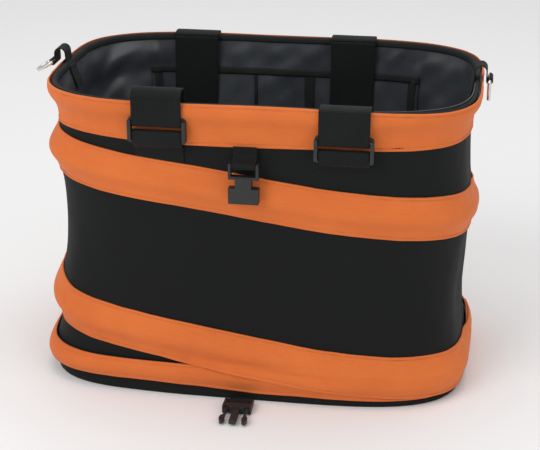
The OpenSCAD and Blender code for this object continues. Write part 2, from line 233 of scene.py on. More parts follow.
def make_skin():
    """Offset of the outer cloth on a grid: held at every turn of wire, and sagging in between two turns."""
    u = np.arange(SKIN_COLUMNS) * TAU / SKIN_COLUMNS
    left, right = end_weights(u)
    turn = turn_of(u)
    table = np.zeros((SKIN_COLUMNS, len(SKIN_Z)))
    for i in range(SKIN_COLUMNS):
        heights = wire_heights(turn[i])
        at_left = np.interp(heights, *(LEFT_OUT.T * MM))
        at_right = np.interp(heights, *(RIGHT_OUT.T * MM))
        held = np.interp(SKIN_Z, heights, left[i] * at_left + right[i] * at_right)
        place = np.clip(np.searchsorted(heights, SKIN_Z) - 1, 0, len(heights) - 2)
        gap = heights[place + 1] - heights[place]
        along = np.clip((SKIN_Z - heights[place]) / gap, 0, 1)
        sag = mix(mix(2.8 * MM, 10 * MM, left[i]), 7 * MM, right[i])
        table[i] = held - sag * (gap / 0.15) ** 0.6 * 4 * along * (1 - along)
    uu, zz = np.meshgrid(u, SKIN_Z, indexing="ij")
    pull = ripple(around(uu), zz * 0.35, 62 * MM, 61) * np.maximum(left, right)[:, None]
    table += 1.7 * MM * pull * (1 - nearness(uu, zz, 24 * MM, 2))
    return gauss(gauss(table, 3.2, 1, False), 5, 0, True)


SKIN_TABLE = make_skin()


def skin(u, z):
    """How far the outer cloth stands out from the outline, read between the cells of the table."""
    u, z = np.broadcast_arrays(u, z)
    a = (u % TAU) / TAU * SKIN_COLUMNS
    b = np.clip((z - SKIN_Z[0]) / (SKIN_Z[1] - SKIN_Z[0]), 0, len(SKIN_Z) - 1.001)
    i, j = np.floor(a).astype(int), np.floor(b).astype(int)
    fa, fb, k = a - i, b - j, (i + 1) % SKIN_COLUMNS
    i = i % SKIN_COLUMNS
    low = mix(SKIN_TABLE[i, j], SKIN_TABLE[k, j], fa)
    high = mix(SKIN_TABLE[i, j + 1], SKIN_TABLE[k, j + 1], fa)
    return mix(low, high, fb)


# ---- mesh makers ----
def add_object(name, mesh):
    obj = bpy.data.objects.new(name, mesh)
    bpy.context.scene.collection.objects.link(obj)
    return obj


def lengths(path):
    """Distance along a path at each of its points."""
    return np.concatenate([[0], np.cumsum(np.linalg.norm(np.diff(path, axis=0), axis=1))])


def unit(vectors):
    return vectors / np.linalg.norm(vectors, axis=1)[:, None]


def grown(array):
    """Cloth coordinates with one more row and column, so that wrapped faces have an end."""
    a = np.concatenate([array, 2 * array[-1:] - array[-2:-1]], 0)
    return np.concatenate([a, 2 * a[:, -1:] - a[:, -2:-1]], 1)


def loft(name, points, weave, wrap=(False, False), caps=False):
    """A grid of points [i][j] as a mesh, with cloth coordinates in metres in its "weave" map."""
    ni, nj = points.shape[:2]
    weave = grown(weave)
    mesh = bpy.data.meshes.new(name)
    last_i, last_j = ni - (0 if wrap[0] else 1), nj - (0 if wrap[1] else 1)
    faces, corners = [], []
    for i in range(last_i):
        for j in range(last_j):
            k, m = (i + 1) % ni, (j + 1) % nj
            faces.append((i * nj + j, k * nj + j, k * nj + m, i * nj + m))
            corners += [weave[i, j], weave[i + 1, j], weave[i + 1, j + 1], weave[i, j + 1]]
    if caps:
        for i, order in ((0, range(nj)), (ni - 1, range(nj - 1, -1, -1))):
            faces.append(tuple(i * nj + j for j in order))
            corners += [weave[i, j] for j in order]
    mesh.from_pydata(points.reshape(-1, 3).tolist(), [], faces)
    layer = mesh.uv_layers.new(name="weave")
    layer.data.foreach_set("uv", np.array(corners, np.float32)[:, :2].ravel())
    mesh.polygons.foreach_set("use_smooth", [True] * len(mesh.polygons))
    fix = bmesh.new()
    fix.from_mesh(mesh)
    bmesh.ops.recalc_face_normals(fix, faces=fix.faces)
    fix.to_mesh(mesh)
    fix.free()
    mesh.update()
    return add_object(name, mesh)


def cloth_sheet(name, u, offsets, heights, wrap, caps=False, down=None):
    """Cloth on the bag's outline. offsets, heights and down, the length down the cloth, are [angle][row]."""
    uu = np.repeat(u[:, None], offsets.shape[1], 1)
    x, y = outline(uu, offsets)
    if down is None:
        steps = np.hypot(np.diff(offsets, axis=1), np.diff(heights, axis=1))
        down = np.concatenate([np.zeros((len(u), 1)), np.cumsum(steps, 1)], 1)
    return loft(name, np.stack([x, y, heights], -1), np.stack([around(uu), down], -1), wrap, caps)


def ring_cloth(name, offsets, heights):
    """Cloth that goes right round the bag, with a closed section."""
    return cloth_sheet(name, U, offsets, heights, (True, True))


def two_faces(offsets, heights, thick):
    """A closed section from one face of a cloth: the face itself, then the other face back down."""
    both = np.concatenate([offsets, (offsets + thick)[:, ::-1]], 1)
    return both, np.concatenate([heights, heights[:, ::-1]], 1)


def ribbon(name, path, side, width, thick, taper=None):
    """Flat webbing along path, with side the direction of its width. Its long edges are rounded."""
    path = np.array(path, float)
    run = lengths(path)
    tangent = unit(np.gradient(path, run, axis=0))
    side = np.array(side, float) * np.ones_like(path)
    side = unit(side - tangent * (side * tangent).sum(1)[:, None])
    up = np.cross(side, tangent)
    half, edge = width / 2, thick / 2
    flat = np.linspace(-half + 4 * edge, half - 4 * edge, 9)
    across = [-half, -half + edge * 0.3, -half + edge, *flat, half - edge, half - edge * 0.3]
    past = [max(0, abs(a) - half + edge) / edge for a in across]
    top = [(a, edge * math.sqrt(max(0, 1 - p**2))) for a, p in zip(across, past)]
    section = top + [(half, 0)] + [(a, -h) for a, h in reversed(top[1:])]
    scale = np.ones(len(path)) if taper is None else np.array(taper)
    points = np.stack([path + side * a * scale[:, None] + up * h for a, h in section], 1)
    weave = np.stack(np.meshgrid([a for a, _ in section], run), -1)
    return loft(name, points, weave, (False, True), caps=True)


def tube(name, path, radius, sides=12, closed=False):
    path = np.array(path, float)
    tangent = unit(np.roll(path, -1, 0) - np.roll(path, 1, 0) if closed else np.gradient(path, axis=0))
    guide = np.array((0.0, 0.0, 1.0)) if abs(tangent[:, 2]).max() < 0.9 else np.array((1.0, 0.0, 0.0))
    if abs(tangent @ guide).max() > 0.98:
        guide = np.array((0.0, 1.0, 0.0))
    side = unit(np.cross(tangent, guide))
    up = np.cross(side, tangent)
    angles = np.arange(sides) * TAU / sides
    points = np.stack([path + radius * (side * math.cos(a) + up * math.sin(a)) for a in angles], 1)
    run = np.arange(len(path)) * np.linalg.norm(path[1] - path[0])
    weave = np.stack(np.meshgrid(angles * radius, run), -1)
    return loft(name, points, weave, (closed, True), caps=not closed)


def curve_points(keys, count):
    """A smooth curve through the given points, spaced evenly."""
    keys = np.array(keys, float)
    padded = np.concatenate([[2 * keys[0] - keys[1]], keys, [2 * keys[-1] - keys[-2]]])
    fine = []
    for a, b, c, d in zip(padded, padded[1:], padded[2:], padded[3:]):
        square, cube = 2 * a - 5 * b + 4 * c - d, 3 * b - a - 3 * c + d
        for s in np.linspace(0, 1, 24, endpoint=False):
            fine.append(0.5 * (2 * b + (c - a) * s + square * s**2 + cube * s**3))
    fine = np.array(fine + [keys[-1]])
    run = lengths(fine)
    even = np.linspace(0, run[-1], count)
    return np.stack([np.interp(even, run, fine[:, k]) for k in range(3)], 1)


def soften(obj, width):
    """Rounds an object's sharp edges for good."""
    mod = obj.modifiers.new("round", "BEVEL")
    mod.width = width
    mod.segments = 3
    mod.limit_method = "ANGLE"
    mod.angle_limit = math.radians(35)
    bpy.context.view_layer.update()
    depsgraph = bpy.context.evaluated_depsgraph_get()
    mesh = bpy.data.meshes.new_from_object(obj.evaluated_get(depsgraph))
    obj.modifiers.clear()
    obj.data = mesh
    mesh.polygons.foreach_set("use_smooth", [True] * len(mesh.polygons))
    mesh.update()


# Along, girth and lift of the four rings of one stitch, as shares of its length and radius
STITCH_RINGS = ((-0.5, 0.45, -0.3), (-0.3, 1, 0.3), (0.3, 1, 0.3), (0.5, 0.45, -0.3))
STITCH_SIDES = 5
STITCH_LENGTH, STITCH_RADIUS, STITCH_PITCH = 2.4 * MM, 0.32 * MM, 3.3 * MM


def stitches(name, points, normals):
    """A row of short threads: each lies along the row, half sunk in the cloth."""
    verts, faces = [], []
    ring = range(STITCH_SIDES)
    for point, along, normal in zip(points, unit(np.gradient(points, axis=0)), normals):
        across = np.cross(along, normal)
        start = len(verts)
        for place, girth, lift in STITCH_RINGS:
            for k in ring:
                a = TAU * k / STITCH_SIDES
                out = normal * (lift + girth * math.cos(a)) + across * girth * math.sin(a)
                verts.append(point + along * place * STITCH_LENGTH + out * STITCH_RADIUS)
        for r in range(len(STITCH_RINGS) - 1):
            low, high = start + r * STITCH_SIDES, start + (r + 1) * STITCH_SIDES
            for k in ring:
                m = (k + 1) % STITCH_SIDES
                faces.append((low + k, low + m, high + m, high + k))
        faces.append(tuple(start + k for k in reversed(ring)))
        faces.append(tuple(high + k for k in ring))
    mesh = bpy.data.meshes.new(name)
    mesh.from_pydata([tuple(v) for v in verts], [], faces)
    mesh.polygons.foreach_set("use_smooth", [True] * len(mesh.polygons))
    return add_object(name, mesh)


def piece(obj, body, material, replaces=(), fold=None):
    """Gives a finished piece its material and body, and hides the CAD nodes that it stands for."""
    obj.data.materials.clear()
    obj.data.materials.append(material)
    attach(obj, body)
    if replaces:
        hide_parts(*replaces)
    if fold:
        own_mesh(obj)
    return obj


# ---- materials ----
class Nodes:
    """A short way to write shader nodes."""

    def __init__(self, name, **sockets):
        self.material = bpy.data.materials.new(name)
        self.material.use_nodes = True
        self.tree = self.material.node_tree
        self.shader = self.tree.nodes["Principled BSDF"]
        for key, value in sockets.items():
            self.shader.inputs[key.replace("_", " ")].default_value = value

    def add(self, kind, inputs=None, **settings):
        node = self.tree.nodes.new(kind)
        for key, value in settings.items():
            setattr(node, key, value)
        for key, value in (inputs or {}).items():
            self.put(value, node.inputs[key])
        return node

    def put(self, value, socket):
        if isinstance(value, bpy.types.NodeSocket):
            self.tree.links.new(value, socket)
        else:
            socket.default_value = value

    def math(self, operation, a, b=0.0):
        return self.add("ShaderNodeMath", {0: a, 1: b}, operation=operation).outputs[0]

    def ramp(self, value, low, high, out_low, out_high):
        return self.add("ShaderNodeMapRange", {0: value, 1: low, 2: high, 3: out_low, 4: out_high}).outputs[0]

    def mix(self, factor, a, b):
        return self.add("ShaderNodeMix", {0: factor, 6: a, 7: b}, data_type="RGBA").outputs[2]

    def place(self):
        return self.add("ShaderNodeTexCoord").outputs["Object"]

    def cloth(self):
        """Distance across and along the cloth, in metres."""
        split = self.add("ShaderNodeSeparateXYZ", {0: self.add("ShaderNodeUVMap", uv_map="weave").outputs[0]})
        return split.outputs[0], split.outputs[1]

    def noise(self, scale, detail=3.0, rough=0.5, vector=None, distortion=0.0):
        inputs = {"Scale": scale, "Detail": detail, "Roughness": rough, "Distortion": distortion}
        return self.add("ShaderNodeTexNoise", {**inputs, "Vector": vector or self.place()}).outputs[0]

    def wave(self, value, period):
        return self.math("SINE", self.math("MULTIPLY", value, TAU / period))

    def bump(self, height, strength, distance, below=None):
        inputs = {"Height": height, "Strength": strength, "Distance": distance}
        if below:
            inputs["Normal"] = below
        return self.add("ShaderNodeBump", inputs).outputs[0]

    def finish(self, **links):
        for key, value in links.items():
            self.put(value, self.shader.inputs[key.replace("_", " ")])
        return self.material


def colour(r, g, b):
    return (r, g, b, 1)


def plain_weave(name, light, dark, period, rough, sheen):
    """Woven polyester: plain weave, faint slubs along the threads, soft creases, patchy shade, and painted
    shade in the pits of the weave.
    """
    n = Nodes(name, Sheen_Weight=sheen, Sheen_Roughness=0.5, Specular_IOR_Level=0.14)
    a, b = n.cloth()
    weave = n.math("MULTIPLY", n.wave(a, period), n.wave(b, period))
    along_threads = {0: n.math("MULTIPLY", a, 60), 1: n.math("MULTIPLY", b, 900)}
    slub = n.noise(1, 2, vector=n.add("ShaderNodeCombineXYZ", along_threads).outputs[0])
    patch = n.noise(14, 4, 0.6)
    soft = n.noise(38, 3, 0.55, distortion=0.6)
    tone = n.math("ADD", n.math("MULTIPLY", patch, 0.7), n.math("MULTIPLY", slub, 0.3))
    base = n.mix(n.ramp(tone, 0.35, 0.65, 0, 1), dark, light)
    # Painted shade: the colour darkens by up to 18 percent in the low pits of the weave, where the bump
    # sinks.
    painted_pit_shade = n.ramp(weave, -1, 0.2, 0.82, 1)
    shade = n.add("ShaderNodeHueSaturation", {"Value": painted_pit_shade, "Color": base}).outputs[0]
    crease = n.bump(soft, 0.5, 0.25 * MM)
    yarn = n.math("ADD", n.math("MULTIPLY", weave, 0.5), n.math("MULTIPLY", slub, 0.35))
    gloss = n.ramp(patch, 0.3, 0.7, rough - 0.05, rough + 0.05)
    return n.finish(Base_Color=shade, Normal=n.bump(yarn, 0.55, 0.12 * MM, crease), Roughness=gloss)


def coated_cloth(name, light, dark):
    """Coated nylon: semi-gloss, softly dented, with hazy patches where the coating has rubbed."""
    n = Nodes(name, Specular_IOR_Level=0.6, Coat_Weight=0.3, Coat_Roughness=0.25)
    patch = n.noise(9, 4, 0.6)
    crinkle = n.noise(22, 1, 0.4)
    haze = n.noise(60, 3, 0.5)
    base = n.mix(n.ramp(patch, 0.35, 0.65, 0, 1), dark, light)
    gloss = n.ramp(haze, 0.3, 0.7, 0.26, 0.4)
    return n.finish(Base_Color=base, Normal=n.bump(crinkle, 0.6, 2.0 * MM), Roughness=gloss)


def webbing_cloth(name, light, dark, rib=2.4 * MM, pick=1.5 * MM):
    """Heavy webbing: lengthwise ribs of slanting yarns that change direction from rib to rib, with painted
    shade in the grooves and a painted lighter colour on the crests.
    """
    n = Nodes(name, Sheen_Weight=0.03, Sheen_Roughness=0.45, Specular_IOR_Level=0.16)
    a, b = n.cloth()
    slant = n.math("PINGPONG", a, rib)
    yarn = n.wave(n.math("ADD", b, n.math("MULTIPLY", slant, 0.55)), pick)
    ribs = n.math("ABSOLUTE", n.wave(a, 2 * rib))
    height = n.math("ADD", n.math("MULTIPLY", ribs, 0.7), n.math("MULTIPLY", yarn, 0.3))
    fuzz = n.noise(700, 2)
    patch = n.noise(20, 3)
    # Painted shade and highlight: the colour follows the bump's height, dark in the grooves and light on the
    # crests.
    base = n.mix(n.ramp(height, 0.1, 0.9, 0, 1), dark, light)
    worn = n.ramp(patch, 0.3, 0.7, 0.85, 1.2)
    shade = n.add("ShaderNodeHueSaturation", {"Value": worn, "Color": base}).outputs[0]
    bump = n.bump(n.math("ADD", height, n.math("MULTIPLY", fuzz, 0.25)), 0.7, 0.28 * MM)
    return n.finish(Base_Color=shade, Normal=bump, Roughness=n.ramp(fuzz, 0.3, 0.7, 0.62, 0.8))


def moulded_plastic(name, light, dark):
    """Satin moulded acetal with a fine spark texture and scuffs."""
    n = Nodes(name, Specular_IOR_Level=0.5)
    grain = n.noise(1600, 2)
    scuff = n.noise(90, 5, 0.7)
    base = n.mix(n.ramp(scuff, 0.4, 0.7, 0, 1), dark, light)
    gloss = n.ramp(scuff, 0.3, 0.7, 0.42, 0.58)
    return n.finish(Base_Color=base, Normal=n.bump(grain, 0.25, 0.06 * MM), Roughness=gloss)


def metal(name, tint, rough, brushed):
    """Metal with fine drawing marks and slightly darker, rougher worn patches."""
    n = Nodes(name, Metallic=1.0)
    fine = n.noise(brushed, 3)
    wear = n.noise(70, 4, 0.7)
    base = n.mix(n.ramp(wear, 0.35, 0.7, 0, 1), tint, tuple(0.8 * c for c in tint[:3]) + (1,))
    gloss = n.ramp(wear, 0.3, 0.7, rough, rough + 0.12)
    return n.finish(Base_Color=base, Normal=n.bump(fine, 0.15, 0.04 * MM), Roughness=gloss)


ORANGE = plain_weave(
    "orange_cloth", colour(0.755, 0.185, 0.044), colour(0.68, 0.155, 0.034), 0.75 * MM, 0.74, 0.08)
BLACK = plain_weave(
    "black_cloth", colour(0.0082, 0.0094, 0.0091), colour(0.0062, 0.0073, 0.0071), 0.8 * MM, 0.7, 0.015)
LINING = coated_cloth("coated_lining", colour(0.056, 0.062, 0.070), colour(0.030, 0.034, 0.040))
WEBBING = webbing_cloth("black_webbing", colour(0.0105, 0.0116, 0.0116), colour(0.0045, 0.0050, 0.0051))
TAPE = webbing_cloth(
    "binding_tape", colour(0.020, 0.021, 0.022), colour(0.008, 0.009, 0.009), 1.1 * MM, 1.0 * MM)
THREAD = webbing_cloth(
    "orange_thread", colour(0.86, 0.36, 0.17), colour(0.70, 0.22, 0.08), 0.5 * MM, 0.5 * MM)
PLASTIC = moulded_plastic("black_acetal", colour(0.017, 0.018, 0.019), colour(0.010, 0.011, 0.0115))
NICKEL = metal("nickel_plate", colour(0.74, 0.72, 0.69), 0.16, 900)
SPRING = metal("drawn_spring_steel", colour(0.42, 0.42, 0.44), 0.3, 1500)
BOARD = moulded_plastic("pressed_board", colour(0.07, 0.07, 0.075), colour(0.045, 0.045, 0.05))


# ---- cloth of the bag ----
COLUMNS = 480
U = np.arange(COLUMNS) * TAU / COLUMNS
HEM = 3.1 * MM
WEB = 1.5 * MM
HANDLE_WIDTH = 50 * MM

# A hem's profile: distance in from the sleeve's edge, and height over the skin, in mm
HEM_STEPS = np.array([
    (0, 0.5), (0.35, 1.35), (0.9, 1.75), (1.7, 1.8), (2.5, 1.55), (3.1, 0.75), (3.7, 1), (4.6, 1.25)])
PLAIN_CLOTH = (8, 1.3)


def band_rows(height):
    """Distances up a sleeve from its lower edge: close together at the hems, even between."""
    height = height[:, None]
    edge = HEM_STEPS[None, :, 0] * MM
    middle = 6 * MM + np.linspace(0, 1, 22)[None] * (height - 12 * MM)
    return np.concatenate([edge + 0 * height, middle, height - edge[:, ::-1]], 1)


def hem_lift(from_edge):
    """Height of a sleeve's cloth over the skin: thick folded hems, a sunk stitch line, then plain cloth."""
    steps, lifts = np.vstack([HEM_STEPS, PLAIN_CLOTH]).T * MM
    return np.interp(from_edge, steps, lifts)


def slack(run, z):
    """Loose waves of a sleeve's cloth."""
    return 0.5 * MM * ripple(run, z * 1.6, 75 * MM, 5)


def no_layer(u, z):
    return 0 * u


def spiral_layer(u, z):
    """The spiral sleeve tucks in under the rim sleeve and lies over the base sleeve."""
    under = -1.7 * MM * smooth((z - RIM_SLEEVE_LOW + 3 * MM) / (3 * MM))
    over = 1.7 * MM * smooth((BASE_SLEEVE_TOP + 6 * MM - z) / (6 * MM))
    return under + over


def sleeve_points(u, low, height, layer=no_layer):
    """Closed section of a sleeve at each angle: outer face up, then the inner face down."""
    rows = band_rows(height)
    z = low[:, None] + rows
    uu = np.repeat(u[:, None], rows.shape[1], 1)
    run = around(uu)
    from_edge = np.minimum(rows, height[:, None] - rows)
    pucker = 0.35 * MM * ripple(run, z, 30 * MM, 3) * np.exp(-((from_edge - 5 * MM) / (6 * MM)) ** 2)
    base = skin(uu, z) + bulge(uu, z) + layer(uu, z) + slack(run, z)
    outer = base + hem_lift(from_edge) + pucker
    inner = (base + 0.25 * MM)[:, ::3]
    return np.concatenate([outer, inner[:, ::-1]], 1), np.concatenate([z, z[:, ::3][:, ::-1]], 1)


def stitch_row(name, u, z, body, layer=no_layer, fold=None):
    """A line of stitches on the cloth at height z over angles u."""
    run = around(u)
    even = np.arange(run.min(), run.max(), STITCH_PITCH)
    uu = np.interp(even, run, u)
    zz = np.interp(even, run, z)
    d = skin(uu, zz) + bulge(uu, zz) + layer(uu, zz) + 0.95 * MM + slack(even, zz)
    x, y = outline(uu, d)
    x1, y1 = outline(uu + 1e-3, d)
    tangent = unit(np.stack([x1 - x, y1 - y], -1))
    normals = np.stack([tangent[:, 1], -tangent[:, 0], np.zeros(len(uu))], -1)
    row = stitches(name, np.stack([x, y, zz], -1), normals)
    piece(row, body, THREAD, fold=fold)


def make_wall():
    rows = np.linspace(BASE_SLEEVE_TOP - 12 * MM, RIM_SLEEVE_LOW + 8 * MM, 120)
    uu, zz = np.meshgrid(U, rows, indexing="ij")
    run = around(uu)
    wave = 0.7 * MM * ripple(run, zz * 0.35, 120 * MM, 11) + 0.2 * MM * ripple(run, zz * 0.5, 34 * MM, 12)
    d = skin(uu, zz) + wave * (1 - nearness(uu, zz, 30 * MM, 2))
    wall = ring_cloth("wall", *two_faces(d, zz, -1.2 * MM))
    piece(wall, "base", BLACK, ["wall_shell"], BODY_FOLD)


def rim_rise(u):
    """The rim is sprung wire under cloth, so its height wanders a little."""
    turns = np.array([-180, -120, -97, -80, -58, -42, -30, 0, 60, 90, 120, 180])
    rise = np.array([0, 0, 1.2, 2.0, -0.8, -3.6, -2.6, 0, 0.8, 0, 0.8, 0]) * MM
    degrees = (np.degrees(u) + 180) % 360 - 180
    return sum(np.interp((degrees + o + 180) % 360 - 180, turns, rise) for o in (-8, -4, 0, 4, 8)) / 5


def base_low(u):
    """Lower edge of the base sleeve: the bottom's black edge shows most at the left end."""
    x = outline(u, 0)[0]
    return MM * np.interp(x, [-0.2, -0.1, -0.044, 0.005, 0.2], [15, 14, 12, 8.5, 6.5])


def hoop_sleeve(body, low, top, sleeve_row, edge_row):
    """A hoop's sleeve, and its two rows of stitches at the given heights."""
    sleeve = ring_cloth(f"{body}_sleeve", *sleeve_points(U, low, top - low))
    piece(sleeve, body, ORANGE, [f"{body}_band"])
    stitch_row(f"{body}_sleeve_stitches", U, sleeve_row, body)
    stitch_row(f"{body}_edge_stitches", U, edge_row, body)


def make_hoop_sleeves():
    low = RIM_SLEEVE_LOW + 0.9 * MM * ripple(around(U), 0 * U, 230 * MM, 41)
    top = HEIGHT - 0.5 * MM + rim_rise(U)
    hoop_sleeve("rim", low, top, low + HEM, top - HEM)
    low = base_low(U)
    top = BASE_SLEEVE_TOP + 0 * U
    hoop_sleeve("base", low, top, top - HEM, low + HEM)


def wire_path(u, z):
    """Middle of a spring wire inside its sleeve."""
    x, y = outline(u, skin(u, z) + WIRE_LIFT)
    return np.stack([x, y, z + 0 * u], -1)


def make_spiral():
    """The spiral sleeve, its stitches and its wire, from under the rim sleeve to over the base sleeve."""
    t = np.arange(SPIRAL_FROM, SPIRAL_TO, 1 / COLUMNS)
    u = angle_of(t)
    low = np.maximum(spiral_z(t) - SPIRAL_H / 2, base_low(u) - 1.5 * MM)
    low = np.where(t < -0.24, np.maximum(low, RIM_SLEEVE_LOW + 1.5 * MM), low)
    top = mix(spiral_z(t) + SPIRAL_H / 2, BASE_SLEEVE_TOP - 0.5 * MM, smooth((t - 1.4) / 0.15))
    top = np.minimum(top, RIM_SLEEVE_LOW + 15 * MM)
    d, z = sleeve_points(u, low, top - low, spiral_layer)
    sleeve = cloth_sheet("spiral_sleeve", u, d, z, (False, True), caps=True)
    piece(sleeve, "base", ORANGE, ["spiral_band"], BODY_FOLD)
    shown = t > -0.05
    stitch_row("spiral_lower_stitches", u, low + HEM, "base", spiral_layer, BODY_FOLD)
    stitch_row("spiral_upper_stitches", u[shown], (top - HEM)[shown], "base", spiral_layer, BODY_FOLD)
    wire_t = np.arange(-0.12, 1.26, 1 / 160)
    wire = tube("spiral_spring_wire", wire_path(angle_of(wire_t), spiral_z(wire_t)), WIRE_R, 8)
    piece(wire, "base", SPRING, ["spiral_wire"], BODY_FOLD)


def lining_offset(u, z):
    """How far the lining's inner face stands out from the outline."""
    run = around(u)
    left, right = end_weights(u)
    wave = 1.5 * MM * ripple(run, z * 0.7, 95 * MM, 21) + 0.8 * MM * ripple(run * 1.2, z, 40 * MM, 22)
    wave *= mix(0.85, 1, np.maximum(left, right))
    loose = smooth((HEIGHT - z) / (25 * MM)) * smooth((z - FLOOR_TOP) / (20 * MM))
    against_wall = skin(u, z) - 3.3 * MM
    d = against_wall + (wave - 1.2 * MM) * loose
    # The long sides stay as flat as the pocket panel, and the lining never comes through the wall
    x, y = outline(u, 0 * z)
    room = 125.8 * MM / np.maximum(np.abs(y) / HALF_D, 0.5) - HALF_D
    room = mix(room, -30 * MM, smooth((np.abs(x) - 0.145) / 0.025))
    d = np.maximum(d, np.minimum(room, against_wall))
    # It turns in under the rim's edge binding
    return np.minimum(d, mix(1, -2.6 * MM, smooth((z - HEIGHT + 22 * MM) / (4 * MM))))


def make_lining():
    """The lining in three parts that meet: one on the base, one that folds, and one on the rim."""
    parts = (
        ("inner_lining_foot", FLOOR_TOP, BASE_TOP, 30, "base", None),
        ("inner_lining", BASE_TOP, RIM_LOW, 110, "base", BODY_FOLD),
        ("inner_lining_top", RIM_LOW, HEIGHT - 2 * MM, 24, "rim", None))
    for name, low, high, rows, body, fold in parts:
        uu, zz = np.meshgrid(U, np.linspace(low, high, rows), indexing="ij")
        inside_bottom_edge = mix(-2.4 * MM, 1, smooth((zz - 0.012) / 0.02))
        d = np.minimum(lining_offset(uu, zz), inside_bottom_edge)
        lining = ring_cloth(name, *two_faces(d, zz, 0.8 * MM))
        lining.data.set_sharp_from_angle(angle=math.radians(50))
        piece(lining, body, LINING, ["wall_lining"] if fold else [], fold)


def make_hoop_wires():
    """Spring wire in the rim and base sleeves."""
    for body, height in HOOPS:
        wire = tube(f"{body}_spring_wire", wire_path(U[::2], height), WIRE_R, 8, closed=True)
        piece(wire, body, SPRING, [f"{body}_wire"])


def make_ferrules():
    """Crimped tubes that join the ends of the two hoops, at the back."""
    u = angle_at(np.linspace(-15 * MM, 15 * MM, 9), 1)
    for body, height in HOOPS:
        crimp = tube(f"{body}_crimp_tube", wire_path(u, height), WIRE_R + 0.5 * MM, 10)
        piece(crimp, body, NICKEL, [f"{body}_ferrule"])


def make_rim_binding():
    """Thin binding that turns over the rim's inner edge. Its section is (offset, height) in mm."""
    section = np.array([
        (-4.0, -7), (-3.9, -5), (-3.6, -2.4), (-2.8, -0.9), (-1.2, -0.2), (0.8, -0.3), (2.0, -1.0),
        (2.3, -3.0), (1.0, -2.6), (-0.6, -1.9), (-2.0, -3), (-2.6, -5), (-2.8, -7)]) * MM
    wander = skin(U, RIM_WIRE_Z) + 0.2 * MM * ripple(around(U), 0 * U, 40 * MM, 31)
    top = HEIGHT - 0.6 * MM + rim_rise(U)
    binding = ring_cloth("rim_edge_binding", section[:, 0] + wander[:, None], section[:, 1] + top[:, None])
    piece(binding, "rim", TAPE, ["rim_binding"])


def make_bottom_edge():
    """Black edge of the bottom, up inside the base sleeve. Its section is (offset, height) in mm."""
    section = np.array([
        (-1.0, 0.4), (0.2, 0.4), (0.9, 1.4), (0.9, 4), (0.3, 6.5), (-0.1, 9), (-0.1, 16), (-0.1, 20),
        (-1.6, 20), (-1.8, 10), (-1.6, 4)]) * MM
    z = np.repeat(section[None, :, 1], COLUMNS, 0)
    spread = 0.9 * skin(U, BASE_WIRE_Z)[:, None] * mix(0.72, 1, smooth(z / (12 * MM)))
    edge = ring_cloth("bottom_edge", section[:, 0] + spread, z)
    piece(edge, "base", BLACK, ["base_binding"])


make_wall()
make_hoop_sleeves()
make_spiral()
make_lining()
make_hoop_wires()
make_ferrules()
make_rim_binding()
make_bottom_edge()


# ---- pockets on the back inner wall ----
def back_patch(name, x0, x1, z0, z1, lift, thick, material, nodes, sag=0.0):
    """A patch on the lining at the back. lift is how far it stands inwards, and sag how far it hangs away."""
    columns, rows = max(6, int((x1 - x0) / (4 * MM))), max(4, int((z1 - z0) / (4 * MM)))
    u = angle_at(np.linspace(x0, x1, columns), 1)
    uu, zz = np.meshgrid(u, np.linspace(z0, z1, rows), indexing="ij")
    wave = (0.5 + 0.5 * ripple(around(uu), zz, 70 * MM, 51)) * sag * smooth((zz - z0) / 0.03)
    d, z = two_faces(lining_offset(uu, zz) - lift - wave, zz, -thick)
    patch = cloth_sheet(name, u, d, z, (False, True), caps=True, down=z)
    piece(patch, "base", material, nodes, BODY_FOLD)


def make_pockets():
    """The pocket panel, the binding along its mouth, and the tapes that divide it, of (middle, width)."""
    corner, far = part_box("pocket_panel")
    low, high, half = corner.z, far.z, far.x
    back_patch("pocket_panel_cloth", -half, half, low, high, 0.5 * MM, 0.8 * MM, LINING,
               ["pocket_panel"], 0.4 * MM)
    back_patch("pocket_mouth_binding", -half, half, high - 7 * MM, high + 1 * MM, 0.9 * MM, 1.6 * MM, TAPE,
               ["pocket_binding"])
    end = half - 8 * MM
    tapes = ((-end, 10 * MM), (-35 * MM, 4 * MM), (30 * MM, 12 * MM), (100 * MM, 10 * MM), (end, 10 * MM))
    for letter, (x, width) in zip("abcde", tapes):
        nodes = ["pocket_dividers"] if letter == "c" else []
        back_patch(f"pocket_divider_{letter}", x - width / 2, x + width / 2, low, high - 3 * MM, 0.8 * MM,
                   1.5 * MM, TAPE, nodes)


make_pockets()

# ---- webbing: keys are (x, d, z), d outwards from the front or back of the outline ----
STRAP_D = abs(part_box("front_handle_tails")[0].y) - HALF_D - 0.8 * MM
FOLD_R = 10 * MM
LOOP_D = STRAP_D - 2 * FOLD_R
PIVOT_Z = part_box("front_handle")[1].z
HANDLE_DROP, HANDLE_CORNER, HANDLE_LEAN = 175 * MM, 36 * MM, -3 * MM
LOOP_FOLD = dict(joint="collapse", axis=(0, 0, 1), anchor=(0, 0, PIVOT_Z), keep=0.61)
SLIT_D = (3.2 * MM, 5.5 * MM, 7.8 * MM)


def on_side(path, side):
    """Points (x, d, z) put on the front (-1) or the back (1) of the bag."""
    path = np.array(path, float)
    return np.stack([path[:, 0], side * (HALF_D + path[:, 1]), path[:, 2]], 1)


def strap(name, keys, side, body, nodes, count=60, width=HANDLE_WIDTH, thick=WEB):
    """Webbing along a smooth curve through the keys."""
    web = ribbon(name, on_side(curve_points(keys, count), side), (1, 0, 0), width, thick)
    return piece(web, body, WEBBING, nodes)


